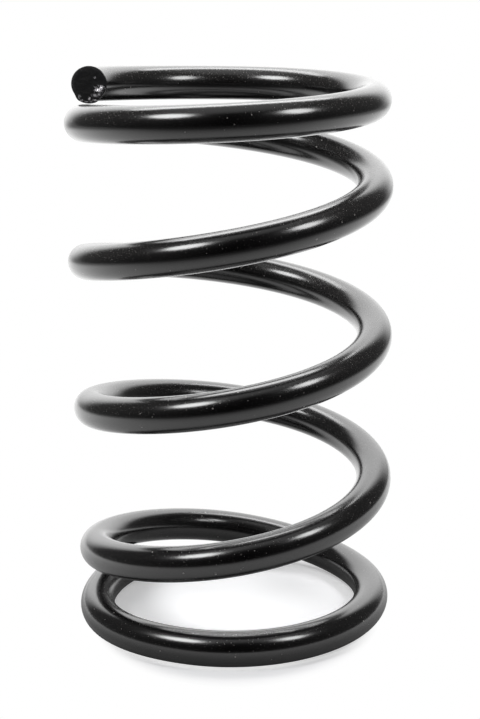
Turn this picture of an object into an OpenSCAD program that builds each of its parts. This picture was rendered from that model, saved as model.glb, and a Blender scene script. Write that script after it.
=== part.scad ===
// Helical compression spring, wound from one length of round wire.
// The wire climbs counter-clockwise seen from above, which makes it a right-hand coil.
// Both ends are closed on to the next turn, and sheared off with no grinding.
// The spring stands on its lower end turn. The origin is the middle of that turn, on the
// floor, and +Z runs up the axis of the coil. Lengths are in millimetres.

/* [Coil] */
// Outside diameter over the working turns
outer_d = 139.7; // [110:0.1:180]
// Height from the floor to the top of the upper tip, with no load
free_h = 244.1; // [200:0.1:320]
// Diameter of the wire
wire_d = 15.2; // [10:0.1:18.5]
// Turns of wire from the lower tip to the upper tip
total_turns = 5.07; // [4.3:0.01:7]
// Direction of the upper tip seen from the axis, counter-clockwise from +X
tip_angle = 165; // [0:1:359]

/* [Closed ends] */
// Clearance between the lip on the lower tip and the turn above it
lower_gap = 1.4; // [0.2:0.1:4]
// Turns over which the lower end leaves the floor and reaches full pitch
lower_blend = 0.24; // [0.1:0.01:0.4]
// How far the lower end turn bulges outwards, a little way on from its tip
lower_bulge = 2.2; // [0:0.1:3]
// Turns from the lower tip to the middle of that bulge
bulge_at = 0.185; // [0.15:0.005:0.3]
// Turns over which it fades out on each side
bulge_fade = 0.125; // [0.1:0.005:0.15]
// Turns of small, even pitch at the upper end, counted from the upper tip
upper_hold = 0.54; // [0.3:0.01:0.7]
// Turns over which the upper end goes on to full pitch
upper_blend = 0.88; // [0.5:0.01:1]
// How far the end turns are drawn in towards the axis
end_draw = 1; // [0:0.1:3]
// Turns at each end that keep the whole of that draw-in
draw_hold = 0.65; // [0.3:0.05:0.9]
// Turns over which the draw-in then fades out
draw_fade = 0.7; // [0.2:0.05:1]

/* [Sheared tips] */
// Length of wire at each tip that is bent less than the rest of the coil
tip_run = 88; // [60:1:120]
// How far that length springs outwards at its tip
tip_flare = 0.6; // [0:0.1:1]
// How far the upper tip also springs up, away from the turn below it
tip_rise = 2.6; // [0:0.1:3]
// Angle between a sheared face and a square cut, which leaves the outside of the coil longer
shear_angle = 12; // [0:1:20]
// Radius of the edge round a sheared face
edge_r = 0.3; // [0.1:0.05:0.5]
// Height of the lip that the shear drags out of the wire, on the side of the next turn
lip_height = 0.9; // [0:0.1:2]
// Clearance between the lip on the upper tip and the turn below it
lip_gap = 0.3; // [0.2:0.1:2]
// Length of wire over which that lip fades out
lip_length = 1.6; // [0.8:0.1:4]
// Angle round the wire that the lip takes up
lip_width = 100; // [40:5:140]
// How far the lip is turned from the next turn towards the outside of the coil
lip_turn = 7; // [-30:1:30]

/* [Smoothness] */
// Rings of points in one turn of the coil
rings_per_turn = 48; // [24:1:54]
// Sides round the wire
wire_sides = 20; // [12:4:20]

/* [Hidden] */

full_turn = 360;
quarter_turn = full_turn / 4;
coat_colour = [0.06, 0.06, 0.065];
view_convexity = 12;

wire_r = wire_d / 2;
coil_r = outer_d / 2 - wire_r;
turn_length = 2 * PI * coil_r;

// Climb of the wire from the floor to the upper tip, before that tip springs up
climb = free_h - tip_rise - wire_d;

// Rise over each closed end turn, which brings its tip to the turn next to it. The upper one
// leaves out what the tip springs up.
upper_lap = wire_d + lip_height + lip_gap - tip_rise;
lower_lap = wire_d + lip_height + lower_gap;

// The pitch follows from the height: the lower end turn climbs one lap, the upper end turn
// climbs one lap, and the turns between them share what is left.
upper_share = eased(1, upper_hold, upper_blend);
upper_turns = (upper_hold + upper_blend / 2) / (1 - upper_share);
pitch = (climb - lower_lap - upper_lap * upper_turns) / (total_turns - 1 - upper_turns);
upper_pitch = (upper_lap - pitch * upper_share) / (1 - upper_share);
lower_start = 1 - lower_lap / pitch - lower_blend / 2;
upper_start = total_turns - upper_hold - upper_blend;

// The slant of a sheared face fades out over this length, so that no two rings cross
shear_run = wire_r;
edge_steps = 2;
lip_steps = 2;
body_steps = ceil(total_turns * rings_per_turn);

// Smooth step from 0 to 1
function smooth(u) =
    let (v = min(max(u, 0), 1))
    v * v * (3 - 2 * v);

// Area under that smooth step, when it begins at turn `start` and lasts `width` turns
function eased(turn, start, width) =
    let (v = min(max((turn - start) / width, 0), 1))
    width * v * v * v * (1 - v / 2) + max(turn - start - width, 0);

// Each station is a count of turns up the wire from the lower tip.
function azimuth(turn) = tip_angle - full_turn * (total_turns - turn);

function turns_to_tip(turn) = min(turn, total_turns - turn);

// Length of wire from a station to the nearer tip, and to the upper tip
function to_tip(turn) = turns_to_tip(turn) * turn_length;
function to_upper_tip(turn) = (total_turns - turn) * turn_length;

// Share of the sprung length at a tip that is still ahead, from 1 at the tip to 0
function sprung(run) = max(1 - run / tip_run, 0);

function height(turn) =
    wire_r
    + pitch * eased(turn, lower_start, lower_blend)
    - (pitch - upper_pitch) * eased(turn, upper_start, upper_blend)
    + tip_rise * pow(sprung(to_upper_tip(turn)), 2);

// Rise in one turn at the slope that the wire has at a station
function turn_pitch(turn) =
    pitch * smooth((turn - lower_start) / lower_blend)
    - (pitch - upper_pitch) * smooth((turn - upper_start) / upper_blend)
    + 2 * tip_rise * sprung(to_upper_tip(turn)) * turn_length / tip_run;

function turn_radius(turn) =
    coil_r
    - end_draw * (1 - smooth((turns_to_tip(turn) - draw_hold) / draw_fade))
    + lower_bulge * (1 - smooth(abs(turn - bulge_at) / bulge_fade))
    + tip_flare * pow(sprung(to_tip(turn)), 2);

// Three directions that move along the wire with it: out from the axis, along the wire
// towards the upper tip, and up across it
function outward(turn) = [cos(azimuth(turn)), sin(azimuth(turn)), 0];

function along(turn) =
    let (lead = atan(turn_pitch(turn) / turn_length))
    [-sin(azimuth(turn)) * cos(lead), cos(azimuth(turn)) * cos(lead), sin(lead)];

function upward(turn) = cross(outward(turn), along(turn));

function centre(turn) = turn_radius(turn) * outward(turn) + [0, 0, height(turn)];

// 1 in the upper half and -1 in the lower half. The turn next to a tip lies below the upper
// one and above the lower one.
function end_sign(turn) = turn > total_turns / 2 ? 1 : -1;

// How far the round edge of a sheared face lies inside the round of the wire
function edge_inset(run) =
    let (left = max(edge_r - run, 0))
    edge_r - sqrt(edge_r * edge_r - left * left);

// How far the lip stands out of the wire in direction `side`, where 0 is outwards and 90 is up.
// It keeps its height over the middle half of its width.
function lip(turn, side) =
    let (lip_side = end_sign(turn) * (lip_turn - quarter_turn))
    let (apart = acos(cos(side - lip_side)) / (lip_width / 2))
    lip_height
    * (1 - smooth(to_tip(turn) / lip_length))
    * (1 - smooth(2 * apart - 1));

// Distance from the middle of the wire to its surface in direction `side`. The flats between
// the corners touch the wire's circle.
function reach(turn, side) =
    wire_r / cos(full_turn / 2 / wire_sides) + lip(turn, side) - edge_inset(to_tip(turn));

// How far a point is carried along the wire by the slant of the nearer sheared face
function slant(turn, side) =
    let (fade = max(1 - to_tip(turn) / shear_run, 0))
    end_sign(turn) * fade * tan(shear_angle) * reach(turn, side) * cos(side);

function ring(turn) =
    [for (step = [0 : wire_sides - 1])
        let (side = full_turn * (step + 0.5) / wire_sides)
        centre(turn)
        + reach(turn, side) * (cos(side) * outward(turn) + sin(side) * upward(turn))
        + slant(turn, side) * along(turn)];

// Stations close together round the edges and along the lips, and even ones between them
edge_runs = [for (step = [0 : edge_steps]) edge_r * (1 - cos(quarter_turn * step / edge_steps))];
lip_runs = [for (step = [1 : lip_steps]) edge_r + (lip_length - edge_r) * step / lip_steps];
tip_stations = concat(edge_runs, lip_runs) / turn_length;
body_stations = [for (step = [1 : body_steps - 1]) total_turns * step / body_steps];
stations = concat(
    tip_stations,
    body_stations,
    [for (step = [len(tip_stations) - 1 : -1 : 0]) total_turns - tip_stations[step]]);
last_ring = len(stations) - 1;

function corner(ring_index, step) = ring_index * wire_sides + step % wire_sides;

wire_points = [for (turn = stations) each ring(turn)];
side_faces =
    [for (index = [0 : last_ring - 1], step = [0 : wire_sides - 1])
        each [
            [corner(index, step), corner(index, step + 1), corner(index + 1, step + 1)],
            [corner(index, step), corner(index + 1, step + 1), corner(index + 1, step)]
        ]];
lower_face =
    [for (step = [1 : wire_sides - 2])
        [corner(0, 0), corner(0, step + 1), corner(0, step)]];
upper_face =
    [for (step = [1 : wire_sides - 2])
        [corner(last_ring, 0), corner(last_ring, step), corner(last_ring, step + 1)]];

module coil_spring() {
    color(coat_colour)
        polyhedron(
            points = wire_points,
            faces = concat(side_faces, lower_face, upper_face),
            convexity = view_convexity);
}

coil_spring();
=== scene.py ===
import math
import bpy
from mathutils import Matrix, Vector


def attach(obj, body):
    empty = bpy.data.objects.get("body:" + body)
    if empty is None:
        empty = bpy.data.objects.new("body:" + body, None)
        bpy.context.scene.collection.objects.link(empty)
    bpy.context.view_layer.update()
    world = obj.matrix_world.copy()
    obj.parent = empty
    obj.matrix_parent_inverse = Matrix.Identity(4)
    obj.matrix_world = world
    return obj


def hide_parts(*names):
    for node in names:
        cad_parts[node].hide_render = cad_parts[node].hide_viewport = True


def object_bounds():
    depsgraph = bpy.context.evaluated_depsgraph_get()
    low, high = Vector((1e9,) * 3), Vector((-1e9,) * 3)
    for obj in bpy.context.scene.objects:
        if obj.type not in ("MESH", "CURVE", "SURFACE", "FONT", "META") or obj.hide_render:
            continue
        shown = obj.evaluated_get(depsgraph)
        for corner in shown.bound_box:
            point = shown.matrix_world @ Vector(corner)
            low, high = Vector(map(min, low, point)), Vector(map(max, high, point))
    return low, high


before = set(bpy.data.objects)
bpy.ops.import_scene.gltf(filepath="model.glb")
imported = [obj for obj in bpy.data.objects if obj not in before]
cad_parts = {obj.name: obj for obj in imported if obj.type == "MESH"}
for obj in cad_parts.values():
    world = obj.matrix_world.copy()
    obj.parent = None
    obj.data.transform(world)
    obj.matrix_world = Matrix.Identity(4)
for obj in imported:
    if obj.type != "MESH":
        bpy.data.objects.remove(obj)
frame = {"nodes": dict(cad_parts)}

cadLow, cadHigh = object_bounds()
print("frame loaded:", ", ".join(frame["nodes"]))


# camera, where the photographer's stood
camera = {
    "place": (0.0, -0.69715, 0.29737),
    "focalLength": 82.16,   # mm
    "longSide": 36,   # mm, of the picture
    "yaw": math.radians(0.286),   # to the right
    "pitch": math.radians(14.496),   # down
    "roll": math.radians(-0.839),
}


def makeCamera(spec):
    data = bpy.data.cameras.new("viewCamera")
    data.lens = spec["focalLength"]
    data.sensor_width = spec["longSide"]
    data.clip_start = 0.01
    data.clip_end = 50
    ahead = Vector((math.sin(spec["yaw"]) * math.cos(spec["pitch"]),
                    math.cos(spec["yaw"]) * math.cos(spec["pitch"]),
                    -math.sin(spec["pitch"])))
    level = Vector((math.cos(spec["yaw"]), -math.sin(spec["yaw"]), 0))
    upright = level.cross(ahead)
    right = math.cos(spec["roll"]) * level + math.sin(spec["roll"]) * upright
    up = math.cos(spec["roll"]) * upright - math.sin(spec["roll"]) * level
    turned = Matrix((right, up, -ahead)).transposed()
    viewer = bpy.data.objects.new("viewCamera", data)
    viewer.matrix_world = Matrix.Translation(spec["place"]) @ turned.to_4x4()
    bpy.context.scene.collection.objects.link(viewer)
    bpy.context.scene.camera = viewer


makeCamera(camera)
print("camera set")


# node helpers: a Field is a socket that takes + - * / and makes the Math nodes
class Field:
    def __init__(self, tree, socket):
        self.tree = tree
        self.socket = socket

    def node(self, operation, *others):
        made = self.tree.nodes.new("ShaderNodeMath")
        made.operation = operation
        for slot, value in zip(made.inputs, (self, *others)):
            feed(self.tree, slot, value)
        return Field(self.tree, made.outputs[0])

    def __add__(self, other):
        return self.node("ADD", other)

    def __radd__(self, other):
        return self.node("ADD", other)

    def __sub__(self, other):
        return self.node("SUBTRACT", other)

    def __rsub__(self, other):
        return (self * -1) + other

    def __mul__(self, other):
        return self.node("MULTIPLY", other)

    def __rmul__(self, other):
        return self.node("MULTIPLY", other)

    def __truediv__(self, other):
        return self.node("DIVIDE", other)

    def clamped(self):
        return self.node("MAXIMUM", 0).node("MINIMUM", 1)

    def smooth(self, start, end):   # soft step from 0 at start to 1 at end
        made = self.tree.nodes.new("ShaderNodeMapRange")
        made.interpolation_type = "SMOOTHSTEP"
        feed(self.tree, made.inputs["Value"], self)
        feed(self.tree, made.inputs["From Min"], start)
        feed(self.tree, made.inputs["From Max"], end)
        return Field(self.tree, made.outputs[0])


def feed(tree, slot, value):
    if isinstance(value, Field):
        tree.links.new(value.socket, slot)
    elif isinstance(value, bpy.types.NodeSocket):
        tree.links.new(value, slot)
    else:
        slot.default_value = value


def addNode(tree, kind, settings=None, **inputs):
    made = tree.nodes.new(kind)
    for name, value in (settings or {}).items():
        setattr(made, name, value)
    for name, value in inputs.items():
        feed(tree, made.inputs[name.replace("_", " ")], value)
    return made


def noiseField(tree, vector, scale, detail=2.0, roughness=0.5):
    made = addNode(tree, "ShaderNodeTexNoise", Vector=vector, Scale=scale, Detail=detail,
                   Roughness=roughness)
    return Field(tree, made.outputs[0])


# the wire: sizes in metres, angles in radians, lengths along the coil in turns
wire = {
    "Outer Diameter": 2 * min(cadHigh.x, cadHigh.y, -cadLow.x, -cadLow.y),
    "Free Height": cadHigh.z - cadLow.z,
    "Wire Diameter": 0.0152,
    "Turns": 5.07,
    "Tip Angle": math.radians(165),
    "Lower Gap": 0.0014,
    "Lower Blend": 0.24,
    "Lower Bulge": 0.0022,
    "Bulge At": 0.185,
    "Bulge Fade": 0.125,
    "Upper Hold": 0.54,
    "Upper Blend": 0.88,
    "End Draw": 0.001,
    "Draw Hold": 0.65,
    "Draw Fade": 0.7,
    "Tip Run": 0.088,
    "Tip Flare": 0.0006,
    "Tip Rise": 0.0026,
    "Shear Angle": math.radians(12),
    "Edge Radius": 0.0003,
    "Lip Height": 0.0009,
    "Lip Gap": 0.0003,
    "Lip Length": 0.0016,
    "Lip Width": math.radians(100),
    "Lip Turn": math.radians(7),
    "Body Rings": 600,
    "Lip Rings": 8,
    "Edge Rings": 6,
    "Face Rings": 30,
    "Sides": 96,
    "Merge Distance": 0.000002,
}


# the torn faces at the tips. A chip: place outwards and up from the middle of the wire, half width,
# half height, how bare. A pit is where black is left in a chip.
tornFace = {
    "chips": (
        (-0.0043, -0.0022, 0.0022, 0.0017, 1.0),
        (-0.0032, -0.0047, 0.0023, 0.0010, 0.4),
        (-0.0002, -0.0063, 0.0004, 0.0008, 0.9),
        (-0.0024, -0.0070, 0.0012, 0.0004, 0.7),
        (0.0041, -0.0056, 0.0006, 0.0009, 0.5),
        (-0.0026, 0.0025, 0.0006, 0.0005, 0.35),
        (0.0031, -0.0070, 0.0008, 0.00035, 0.6),
        (0.0012, -0.0077, 0.0009, 0.0003, 0.7),
        (-0.0009, -0.0078, 0.0007, 0.0003, 0.6),
    ),
    "pits": (
        (-0.0041, -0.0017, 0.0005, 0.0004),
        (-0.0031, -0.0039, 0.0009, 0.0003),
    ),
    "chipEdge": (0.75, 1.05),   # where a chip ends and a pit begins, as shares of its half size
    "pitEdge": (0.7, 1.3),
    "ragScale": 1300,
    "rag": 3.2,   # how ragged the edges of the chips are
    "facetTilt": (0.16, 0.34),   # outwards and up
    "crumbScale": 650,
    "crumbDepth": 0.0009,
    "coarseScale": 260,   # the torn steel under the coat
    "coarseDepth": 0.0005,
    "fineScale": 1400,
    "fineDepth": 0.00016,
}


def chipFields(tree, spec, outward, upward):   # how bare the steel is, and how far its facets rise
    place = addNode(tree, "ShaderNodeCombineXYZ", X=outward, Y=upward).outputs[0]
    ragged = (noiseField(tree, place, spec["ragScale"], 3, 0.7) - 0.5) * spec["rag"]
    tiltOut, tiltUp = spec["facetTilt"]
    bare, facets = 0, 0
    for chipOut, chipUp, halfWide, halfTall, share in spec["chips"]:
        aside = outward - chipOut
        above = upward - chipUp
        apart = (aside * aside / halfWide ** 2 + above * above / halfTall ** 2).node("SQRT")
        mask = 1 - (apart + ragged).smooth(*spec["chipEdge"])
        bare = (mask * share).node("MAXIMUM", bare)
        facets = facets - mask * (above * tiltUp + aside * tiltOut)
    for pitOut, pitUp, halfWide, halfTall in spec["pits"]:
        aside = (outward - pitOut) / halfWide
        above = (upward - pitUp) / halfTall
        bare = bare * (aside * aside + above * above).node("SQRT").smooth(*spec["pitEdge"])
    crumbs = noiseField(tree, place, spec["crumbScale"], 2, 0.6) - 0.5
    return bare, facets + bare * crumbs * spec["crumbDepth"]


def easedField(turn, start, width):   # area under a soft step that starts there and lasts that long
    share = ((turn - start) / width).clamped()
    return width * share * share * share * (1 - share / 2) + (turn - start - width).node("MAXIMUM", 0)


def wireTree(spec, torn, coatMaterial, cutMaterial):
    tree = bpy.data.node_groups.new("windWire", "GeometryNodeTree")
    tree.interface.new_socket("Geometry", in_out="OUTPUT", socket_type="NodeSocketGeometry")
    sockets = {}
    for name, value in spec.items():
        kind = "NodeSocketInt" if isinstance(value, int) else "NodeSocketFloat"
        sockets[name] = tree.interface.new_socket(name, in_out="INPUT", socket_type=kind)
    for name in ("Coat", "Cut"):
        sockets[name] = tree.interface.new_socket(name, in_out="INPUT", socket_type="NodeSocketMaterial")
    given = tree.nodes.new("NodeGroupInput")
    size = {name: Field(tree, given.outputs[name]) for name in spec}

    # a grid, one row for a ring and one column for a side: face, round edge, lip, body, lip, edge, face
    endRings = size["Face Rings"] + size["Edge Rings"] + size["Lip Rings"]
    rings = size["Body Rings"] + endRings * 2 + 1
    columns = size["Sides"] + 1
    grid = addNode(tree, "GeometryNodeMeshGrid", Vertices_X=rings, Vertices_Y=columns)
    index = Field(tree, tree.nodes.new("GeometryNodeInputIndex").outputs[0])
    row = (index / columns).node("FLOOR")
    column = index - row * columns
    rowsLeft = rings - 1 - row

    def rimAngle(rows):   # 0 on the face, a quarter turn once on the body
        return ((rows - size["Face Rings"]) / size["Edge Rings"]).clamped() * (math.pi / 2)

    lowAngle = rimAngle(row)
    highAngle = rimAngle(rowsLeft)
    rim = lowAngle.node("MINIMUM", highAngle)
    rowsToEnd = row.node("MINIMUM", rowsLeft)
    faceShare = (rowsToEnd / size["Face Rings"]).clamped()
    isUpper = (row - rowsLeft).node("GREATER_THAN", 0)
    bodyShare = ((row - endRings) / size["Body Rings"]).clamped()

    def lipShare(rows):   # 0 at the round edge, 1 where the body's even rings begin
        return ((rows - size["Face Rings"] - size["Edge Rings"]) / size["Lip Rings"]).clamped()

    # where each ring stands along the coil
    wireR = size["Wire Diameter"] / 2
    coilR = size["Outer Diameter"] / 2 - wireR
    turnLength = coilR * (2 * math.pi)
    edgeR = size["Edge Radius"]
    lipRun = size["Lip Length"]
    lowRun = edgeR * (1 - lowAngle.node("COSINE")) + lipRun * lipShare(row)
    highRun = edgeR * (1 - highAngle.node("COSINE")) + lipRun * lipShare(rowsLeft)
    turns = size["Turns"]
    endRun = edgeR + lipRun
    turn = (lowRun + endRun - highRun) / turnLength + bodyShare * (turns - 2 * endRun / turnLength)
    azimuth = size["Tip Angle"] - (turns - turn) * (2 * math.pi)

    # the pitch follows from the height, the closed ends and the turns between them
    tipRise = size["Tip Rise"]
    upperLap = size["Wire Diameter"] + size["Lip Height"] + size["Lip Gap"] - tipRise
    lowerLap = size["Wire Diameter"] + size["Lip Height"] + size["Lower Gap"]
    holdTurns = size["Upper Hold"]
    blendTurns = size["Upper Blend"]
    turnOne = holdTurns * 0 + 1
    upperShare = easedField(turnOne, holdTurns, blendTurns)
    upperTurns = (holdTurns + blendTurns / 2) / (1 - upperShare)
    climb = size["Free Height"] - tipRise - size["Wire Diameter"]
    pitch = (climb - lowerLap - upperLap * upperTurns) / (turns - 1 - upperTurns)
    upperPitch = (upperLap - pitch * upperShare) / (1 - upperShare)
    lowerStart = 1 - lowerLap / pitch - size["Lower Blend"] / 2
    upperStart = turns - holdTurns - blendTurns
    tipTurns = turn.node("MINIMUM", turns - turn)
    tipRun = tipTurns * turnLength
    # 1 at a tip, 0 where the wire is bent fully
    sprung = (1 - tipRun / size["Tip Run"]).node("MAXIMUM", 0)
    height = (wireR + pitch * easedField(turn, lowerStart, size["Lower Blend"])
              - (pitch - upperPitch) * easedField(turn, upperStart, blendTurns)
              + isUpper * tipRise * sprung * sprung)
    slope = (pitch * turn.smooth(lowerStart, lowerStart + size["Lower Blend"])
             - (pitch - upperPitch) * turn.smooth(upperStart, upperStart + blendTurns)
             + isUpper * 2 * tipRise * sprung * turnLength / size["Tip Run"])
    lead = (slope / turnLength).node("ARCTANGENT")
    drawn = 1 - tipTurns.smooth(size["Draw Hold"], size["Draw Hold"] + size["Draw Fade"])
    bulge = 1 - (turn - size["Bulge At"]).node("ABSOLUTE").smooth(0, size["Bulge Fade"])
    ringR = (coilR - size["End Draw"] * drawn + size["Lower Bulge"] * bulge
             + size["Tip Flare"] * sprung * sprung)

    # the section: round, with the shear's lip at its tips, and rolled in at the rim of the cut
    endSign = isUpper * 2 - 1
    side = column / size["Sides"] * (2 * math.pi)
    lipSide = endSign * (size["Lip Turn"] - math.pi / 2)
    apart = (side - lipSide).node("COSINE").node("ARCCOSINE") / (size["Lip Width"] / 2)
    lip = size["Lip Height"] * (1 - tipRun.smooth(0, lipRun)) * (1 - apart.smooth(0.5, 1))
    across = faceShare * (wireR + lip - edgeR) + edgeR * rim.node("SINE")
    outward = across * side.node("COSINE")
    upward = across * side.node("SINE")

    # the torn face of the cut, as a rise along the wire
    onFace = 1 - rim.node("SINE")
    slantFade = (1 - tipRun / wireR).node("MAXIMUM", 0)
    slant = slantFade * size["Shear Angle"].node("TANGENT") * outward
    place = addNode(tree, "ShaderNodeCombineXYZ", X=outward, Y=upward, Z=isUpper).outputs[0]
    coarse = noiseField(tree, place, torn["coarseScale"], 3, 0.6) - 0.5
    fine = noiseField(tree, place, torn["fineScale"], 2, 0.6) - 0.5
    bare, facets = chipFields(tree, torn, outward, upward)
    relief = onFace * (coarse * torn["coarseDepth"] + fine * torn["fineDepth"] + facets)
    rise = endSign * (slant + relief)

    # out to the place on the coil
    radial = ringR + outward
    tangential = rise * lead.node("COSINE") - upward * lead.node("SINE")
    x = radial * azimuth.node("COSINE") - tangential * azimuth.node("SINE")
    y = radial * azimuth.node("SINE") + tangential * azimuth.node("COSINE")
    z = height + upward * lead.node("COSINE") + rise * lead.node("SINE")
    position = addNode(tree, "ShaderNodeCombineXYZ", X=x, Y=y, Z=z)

    # what the materials and the choice between them read
    geometry = grid.outputs["Mesh"]
    stored = {"cutFace": onFace, "cutOutward": outward, "cutUpward": upward, "bareSteel": bare}
    for name, value in stored.items():
        kept = addNode(tree, "GeometryNodeStoreNamedAttribute", {"data_type": "FLOAT", "domain": "POINT"},
                       Geometry=geometry, Name=name)
        feed(tree, kept.inputs["Value"], value)
        geometry = kept.outputs[0]
    moved = addNode(tree, "GeometryNodeSetPosition", Geometry=geometry, Position=position.outputs[0])
    merged = addNode(tree, "GeometryNodeMergeByDistance", Geometry=moved.outputs[0],
                     Distance=size["Merge Distance"])
    shaded = addNode(tree, "GeometryNodeSetShadeSmooth", Geometry=merged.outputs[0])
    whole = addNode(tree, "GeometryNodeRealizeInstances", Geometry=shaded.outputs[0])
    coated = addNode(tree, "GeometryNodeSetMaterial", Geometry=whole.outputs[0],
                     Material=given.outputs["Coat"])
    maskRead = addNode(tree, "GeometryNodeInputNamedAttribute", {"data_type": "FLOAT"}, Name="cutFace")
    isCut = Field(tree, maskRead.outputs["Attribute"]).node("GREATER_THAN", 0.5)
    cut = addNode(tree, "GeometryNodeSetMaterial", Geometry=coated.outputs[0], Selection=isCut,
                  Material=given.outputs["Cut"])
    out = tree.nodes.new("NodeGroupOutput")
    tree.links.new(cut.outputs[0], out.inputs[0])
    values = dict(spec, Coat=coatMaterial, Cut=cutMaterial)
    return tree, {sockets[name].identifier: value for name, value in values.items()}


# gloss black coat over the whole wire, with dust on it
coat = {
    "black": (0.0022, 0.0019, 0.0021, 1),
    "blackSpread": 0.2,
    "toneScale": 60,
    "index": 1.8,
    "roughness": 0.195,
    "roughSpread": 0.04,
    "roughScale": 180,
    "peelScale": 520,   # orange peel
    "peelStrength": 0.03,
    "peelDepth": 0.0002,
    "dust": (0.55, 0.52, 0.5, 1),
    "dustCover": 0.7,
    "dustRough": 0.3,
    # dots: cells in a metre, smallest radius and spread in cells, share left out
    "specks": (380, 0.07, 0.12, 0.5),
    "grain": (1000, 0.12, 0.17, 0.15),
    "grainShare": 0.6,
    "film": (1500, 0.25, 0.3, 0.1),
    "filmShare": 0.42,
    "filmHaze": 0.08,   # between its dots
    "patchScale": 45,   # the grain lies in patches
    "patchEdge": (0.25, 0.52),
    "topEdge": (-0.1, 0.6),   # how far up a face looks where the dust begins and is full
    # painted light: the film lies only on the sides and back, where the side lamps light the coil
    "sideLightEdge": (-0.06, 0.01),   # no film at the middle of the front
    "highEdge": (0.02, 0.17),   # and less of it low down
    "lowShare": 0.25,
}


# round dots of mixed size and strength, most of them small and faint
def dotField(tree, vector, scale, smallest, spread, left, edge=0.6, faintest=0.15):
    cells = addNode(tree, "ShaderNodeTexVoronoi", Vector=vector, Scale=scale)
    random = addNode(tree, "ShaderNodeSeparateColor", Color=cells.outputs["Color"])
    radius = Field(tree, random.outputs[0]).node("POWER", 3) * spread + smallest
    dot = 1 - (Field(tree, cells.outputs["Distance"]) / radius).smooth(edge, 1)
    kept = Field(tree, random.outputs[1]).node("GREATER_THAN", left)
    strength = Field(tree, random.outputs[2]).node("POWER", 2) * (1 - faintest) + faintest
    return dot * kept * strength


def coatMaterialNodes(spec):
    material = bpy.data.materials.new("blackCoat")
    material.use_nodes = True
    tree = material.node_tree
    shader = tree.nodes["Principled BSDF"]
    where = addNode(tree, "ShaderNodeTexCoord").outputs["Object"]

    # specks of dust all over, few of them bright; on the upper side grain in patches and a thin film of
    # dust with a haze between its dots. The film is painted sheen as well as dust: it is kept to the
    # sides and back, where the side lamps fall, and left off the middle of the front
    normal = tree.nodes.new("ShaderNodeNewGeometry").outputs["Normal"]
    facing = addNode(tree, "ShaderNodeSeparateXYZ", Vector=normal)
    place = addNode(tree, "ShaderNodeSeparateXYZ", Vector=where)
    x, y, z = (Field(tree, place.outputs[i]) for i in range(3))
    onTop = Field(tree, facing.outputs[2]).smooth(*spec["topEdge"])
    # painted light: 1 on the sides and back, where the side lamps light the film, 0 at the middle of the
    # front
    sideLitShare = (x.node("ABSOLUTE") + y).smooth(*spec["sideLightEdge"])
    higher = z.smooth(*spec["highEdge"]) * (1 - spec["lowShare"]) + spec["lowShare"]
    patches = noiseField(tree, where, spec["patchScale"], 2).smooth(*spec["patchEdge"])
    specks = dotField(tree, where, *spec["specks"])
    grain = dotField(tree, where, *spec["grain"]) * patches * onTop
    film = (dotField(tree, where, *spec["film"]) + spec["filmHaze"]) * onTop * sideLitShare * higher
    dustAndSideSheen = specks.node("MAXIMUM", grain * spec["grainShare"]).node("MAXIMUM", film * spec["filmShare"])

    blacks = addNode(tree, "ShaderNodeMix", {"data_type": "RGBA"})
    feed(tree, blacks.inputs[0], noiseField(tree, where, spec["toneScale"], 3))
    for slot, sign in ((6, -1), (7, 1)):
        level = 1 + sign * spec["blackSpread"]
        blacks.inputs[slot].default_value = tuple(level * c for c in spec["black"][:3]) + (1,)
    dusted = addNode(tree, "ShaderNodeMix", {"data_type": "RGBA"})
    feed(tree, dusted.inputs[0], dustAndSideSheen * spec["dustCover"])
    tree.links.new(blacks.outputs[2], dusted.inputs[6])
    dusted.inputs[7].default_value = spec["dust"]
    tree.links.new(dusted.outputs[2], shader.inputs["Base Color"])

    rough = (noiseField(tree, where, spec["roughScale"], 3) * spec["roughSpread"]
             + (spec["roughness"] - spec["roughSpread"] / 2) + dustAndSideSheen * spec["dustRough"])
    feed(tree, shader.inputs["Roughness"], rough)
    peel = noiseField(tree, where, spec["peelScale"], 1)
    bump = addNode(tree, "ShaderNodeBump", Strength=spec["peelStrength"], Distance=spec["peelDepth"],
                   Height=peel)
    tree.links.new(bump.outputs[0], shader.inputs["Normal"])
    shader.inputs["IOR"].default_value = spec["index"]
    return material


# sheared steel at the two tips, with the same coat over it
cutEnd = {
    "black": (0.006, 0.006, 0.0065, 1),
    # painted highlight: the lighter colour of the rolled rim
    "rim": (0.045, 0.045, 0.047, 1),
    "steel": (0.75, 0.73, 0.76, 1),
    "metal": 0.9,
    "index": 1.4,
    "roughness": 0.55,
    "roughSpread": 0.2,
    "steelSmoother": 0.12,
    "toneScale": 900,
    "crumbScale": 1500,   # black crumbs on the bare steel
    "crumbEdge": (0.44, 0.54),
    "crumbLeast": 0.15,
    "rimHighlightRadius": (0.0055, 0.0075),   # metres from the middle of the wire
    "rimHighlightSide": (-0.006, 0.009),   # metres outwards and up together
    "rimHighlightPatches": (0.2, 0.7),
    "grainScale": 2500,
    "grainStrength": 0.5,
    "grainDepth": 0.0002,
}


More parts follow.
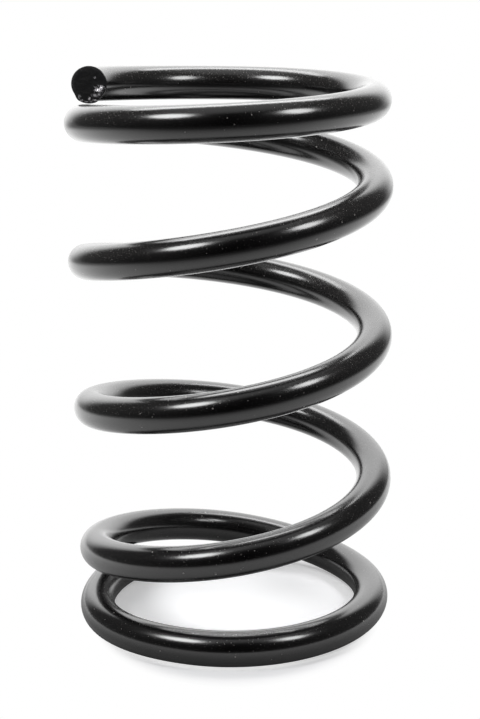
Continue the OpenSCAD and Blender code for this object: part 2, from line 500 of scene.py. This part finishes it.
def cutMaterialNodes(spec):
    material = bpy.data.materials.new("cutEnd")
    material.use_nodes = True
    tree = material.node_tree
    shader = tree.nodes["Principled BSDF"]
    where = addNode(tree, "ShaderNodeTexCoord").outputs["Object"]
    across, up, bareSteel = (
        Field(tree, addNode(tree, "ShaderNodeAttribute", {"attribute_name": name}).outputs["Fac"])
        for name in ("cutOutward", "cutUpward", "bareSteel"))
    tone = noiseField(tree, where, spec["toneScale"], 4, 0.65)
    crumbs = noiseField(tree, where, spec["crumbScale"], 2, 0.6).smooth(*spec["crumbEdge"])
    bare = (bareSteel * (crumbs * (1 - spec["crumbLeast"]) + spec["crumbLeast"])).clamped()

    # painted highlight: the rolled rim is lighter, in patches, most of all at the top and on the outer
    # side, which face the lamps
    fromMiddle = (across * across + up * up).node("SQRT")
    rim = (fromMiddle.smooth(*spec["rimHighlightRadius"]) * (across + up).smooth(*spec["rimHighlightSide"])
           * tone.smooth(*spec["rimHighlightPatches"]))
    coated = addNode(tree, "ShaderNodeMix", {"data_type": "RGBA"})
    feed(tree, coated.inputs[0], rim)
    coated.inputs[6].default_value = spec["black"]
    coated.inputs[7].default_value = spec["rim"]
    colour = addNode(tree, "ShaderNodeMix", {"data_type": "RGBA"})
    feed(tree, colour.inputs[0], bare)
    tree.links.new(coated.outputs[2], colour.inputs[6])
    colour.inputs[7].default_value = spec["steel"]
    tree.links.new(colour.outputs[2], shader.inputs["Base Color"])
    feed(tree, shader.inputs["Metallic"], bare * spec["metal"])
    feed(tree, shader.inputs["Roughness"], tone * spec["roughSpread"] - bare * spec["steelSmoother"]
         + (spec["roughness"] - spec["roughSpread"] / 2))
    shader.inputs["IOR"].default_value = spec["index"]
    grain = noiseField(tree, where, spec["grainScale"], 3, 0.6)
    bump = addNode(tree, "ShaderNodeBump", Strength=spec["grainStrength"],
                   Distance=spec["grainDepth"], Height=grain)
    tree.links.new(bump.outputs[0], shader.inputs["Normal"])
    return material


def makeWire(spec):
    tree, values = wireTree(spec, tornFace, coatMaterialNodes(coat), cutMaterialNodes(cutEnd))
    blank = bpy.data.objects.new("wireMaker", bpy.data.meshes.new("wireMaker"))
    bpy.context.scene.collection.objects.link(blank)
    winding = blank.modifiers.new("windWire", "NODES")
    winding.node_group = tree
    for identifier, value in values.items():
        winding[identifier] = value
    seen = blank.evaluated_get(bpy.context.evaluated_depsgraph_get())
    mesh = bpy.data.meshes.new_from_object(seen)
    mesh.name = "springWire"
    mesh.materials.pop(index=0)   # the grid's own slot, which is empty
    bpy.data.objects.remove(blank)
    piece = bpy.data.objects.new("springWire", mesh)
    bpy.context.scene.collection.objects.link(piece)
    return piece


springWire = makeWire(wire)
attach(springWire, "root")
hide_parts("coil_spring")
print("wire wound:", len(springWire.data.polygons), "faces,", len(springWire.data.materials), "materials")


# studio: a white paper sweep, two softboxes in front and one high behind
middle = Vector((0, 0, (cadLow.z + cadHigh.z) / 2))
# degrees round from straight behind the coil, degrees up, metres away, across, tall, brightness
softboxes = {
    "leftSoftbox": (-127, 50.5, 1.2, 0.5, 0.45, 10.8),
    "rightSoftbox": (129, 44, 0.62, 0.19, 0.23, 9.5),
    "rearSoftbox": (-4, 60, 1.1, 1.05, 0.3, 6.5),
}


def softbox(name, azimuth, elevation, distance, width, tall, brightness):
    data = bpy.data.lights.new(name, "AREA")
    data.shape = "ELLIPSE"
    data.size = width
    data.size_y = tall
    data.energy = brightness * math.pi ** 2 * width * tall / 4   # a lamp's watts for that brightness
    lamp = bpy.data.objects.new(name, data)
    a, e = math.radians(azimuth), math.radians(elevation)
    away = Vector((math.sin(a) * math.cos(e), math.cos(a) * math.cos(e), math.sin(e)))
    lamp.location = middle + away * distance
    lamp.rotation_mode = "QUATERNION"
    lamp.rotation_quaternion = away.to_track_quat("Z", "Y")
    lamp.visible_camera = False
    bpy.context.scene.collection.objects.link(lamp)


paper = {
    "colour": (0.79, 0.795, 0.815, 1),
    "halfWidth": 1.4,
    "front": -1.0,
    "back": 1.2,
    "sweepRadius": 0.3,
    "sweepSteps": 16,
    "wallHeight": 1.7,
    # painted light on the paper: white added for the camera's rays, in levels that hide or let through
    # the coil's shadow: inside the coil, then new levels from the axis outwards, each with where it
    # starts and is full, and how much of that step is left out at the right
    "lift": 0.65,
    "liftSteps": ((0.37, 0.015, 0.05, 0), (0.75, 0.06, 0.0635, 0.6), (0.3, 0.0645, 0.068, 0.6)),
    "liftRight": 0.13,   # a little more inside the coil at the right
    "rightEdge": (0.01, 0.05),
    "rightFade": (0.055, 0.062),
    "fade": (0.07, 0.083),   # where the paper goes white, nearer at the sides
    "fadeAcross": 1.25,
    "glow": 1.58,   # how bright the coat mirrors the lit paper
    "glowLeast": 0.08,
    "glowSide": (0.45, 0.95),   # where the floor's glow fades at the sides
    "glowSideDrop": 0.75,
    "glowFront": (-0.62, 0.3),   # and towards the camera
    "wallSide": (0.55, 1.45),
    "wallRise": 0.9,
    "shadeReach": 0.3,   # how far the coil shades the paper that its coat mirrors
    "shadePower": 3.0,
    "shadeSamples": 12,
}


def paperMaterial(spec):
    material = bpy.data.materials.new("whitePaper")
    material.use_nodes = True
    tree = material.node_tree
    tree.nodes.remove(tree.nodes["Principled BSDF"])
    lit = addNode(tree, "ShaderNodeBsdfDiffuse", Color=spec["colour"])
    path = tree.nodes.new("ShaderNodeLightPath")
    toCamera = Field(tree, path.outputs["Is Camera Ray"])
    toGloss = Field(tree, path.outputs["Is Glossy Ray"])
    where = addNode(tree, "ShaderNodeSeparateXYZ",
                    Vector=addNode(tree, "ShaderNodeTexCoord").outputs["Object"])
    x, y, z = (Field(tree, where.outputs[i]) for i in range(3))
    aside = x.node("ABSOLUTE")
    distance = (x * x + y * y).node("SQRT")

    # what the coat mirrors: bright behind the coil and up the wall, dim towards the camera
    onWall = z.smooth(0, spec["sweepRadius"])
    dropped = aside.smooth(*spec["glowSide"]) * spec["glowSideDrop"]
    floorGlow = (1 - dropped) * y.smooth(*spec["glowFront"])
    wallGlow = (1 - aside.smooth(*spec["wallSide"])) * (z * spec["wallRise"] / spec["wallHeight"] + 1)
    unshaded = addNode(tree, "ShaderNodeAmbientOcclusion", {"samples": spec["shadeSamples"]},
                       Distance=spec["shadeReach"])
    shade = Field(tree, unshaded.outputs["AO"]).node("POWER", spec["shadePower"])
    glow = (floorGlow * shade * (1 - onWall) + wallGlow * onWall) * spec["glow"] + spec["glowLeast"]
    mirrored = addNode(tree, "ShaderNodeEmission", Strength=glow)

    # what the camera sees: lit paper with the coil's shadow on it, lifted towards white, then white
    right = x.smooth(*spec["rightEdge"])
    white = right * (1 - distance.smooth(*spec["rightFade"])) * spec["liftRight"] + spec["lift"]
    before = spec["lift"]
    for level, start, end, leftOut in spec["liftSteps"]:
        white = white + (level - before) * distance.smooth(start, end) * (1 - right * leftOut)
        before = level
    lift = addNode(tree, "ShaderNodeEmission", Strength=toCamera * white)
    near = addNode(tree, "ShaderNodeAddShader")
    tree.links.new(lit.outputs[0], near.inputs[0])
    tree.links.new(lift.outputs[0], near.inputs[1])
    plain = addNode(tree, "ShaderNodeEmission", Strength=1.0)
    mixed = addNode(tree, "ShaderNodeMixShader")
    reach = (x * x * spec["fadeAcross"] ** 2 + y * y).node("SQRT")
    feed(tree, mixed.inputs[0], reach.smooth(*spec["fade"]) * toCamera)
    tree.links.new(near.outputs[0], mixed.inputs[1])
    tree.links.new(plain.outputs[0], mixed.inputs[2])
    seen = addNode(tree, "ShaderNodeMixShader")
    feed(tree, seen.inputs[0], toGloss)
    tree.links.new(mixed.outputs[0], seen.inputs[1])
    tree.links.new(mirrored.outputs[0], seen.inputs[2])
    tree.links.new(seen.outputs[0], tree.nodes["Material Output"].inputs["Surface"])
    return material


def makePaper(spec):
    back, radius = spec["back"], spec["sweepRadius"]
    profile = [(spec["front"], 0.0), (back - radius, 0.0)]
    for step in range(1, spec["sweepSteps"] + 1):
        a = math.pi / 2 * step / spec["sweepSteps"]
        profile.append((back - radius + radius * math.sin(a), radius - radius * math.cos(a)))
    profile.append((back, spec["wallHeight"]))
    half = spec["halfWidth"]
    points = [(x, y, z) for y, z in profile for x in (-half, half)]
    faces = [(2 * i, 2 * i + 1, 2 * i + 3, 2 * i + 2) for i in range(len(profile) - 1)]
    mesh = bpy.data.meshes.new("paperSweep")
    mesh.from_pydata(points, [], faces)
    mesh.materials.append(paperMaterial(spec))
    sweep = bpy.data.objects.new("paperSweep", mesh)
    bpy.context.scene.collection.objects.link(sweep)


# the dark studio round the sweep, white where the camera looks straight at it
room = {
    "least": 0.003,
    "side": 0.06,
    "behind": 0.072,
    "behindFrom": -0.4,
    "ceiling": 0.5,
    "ceilingEdge": (0.8, 1.0),
}


def makeRoom(spec):
    world = bpy.data.worlds.new("room")
    world.use_nodes = True
    bpy.context.scene.world = world
    tree = world.node_tree
    back = tree.nodes["Background"]
    path = tree.nodes.new("ShaderNodeLightPath")
    toCamera = Field(tree, path.outputs["Is Camera Ray"])
    way = addNode(tree, "ShaderNodeSeparateXYZ",
                  Vector=addNode(tree, "ShaderNodeTexCoord").outputs["Generated"])
    x, y, z = (Field(tree, way.outputs[i]) for i in range(3))
    level = (x.node("ABSOLUTE") * spec["side"] + (y - spec["behindFrom"]).clamped() * spec["behind"]
             + z.smooth(*spec["ceilingEdge"]) * spec["ceiling"] + spec["least"])
    feed(tree, back.inputs["Strength"], level * (1 - toCamera) + toCamera)
    back.inputs["Color"].default_value = (1, 1, 1, 1)


for name, place in softboxes.items():
    softbox(name, *place)
makePaper(paper)
makeRoom(room)
bpy.context.scene.view_settings.view_transform = "Standard"
print("studio set")
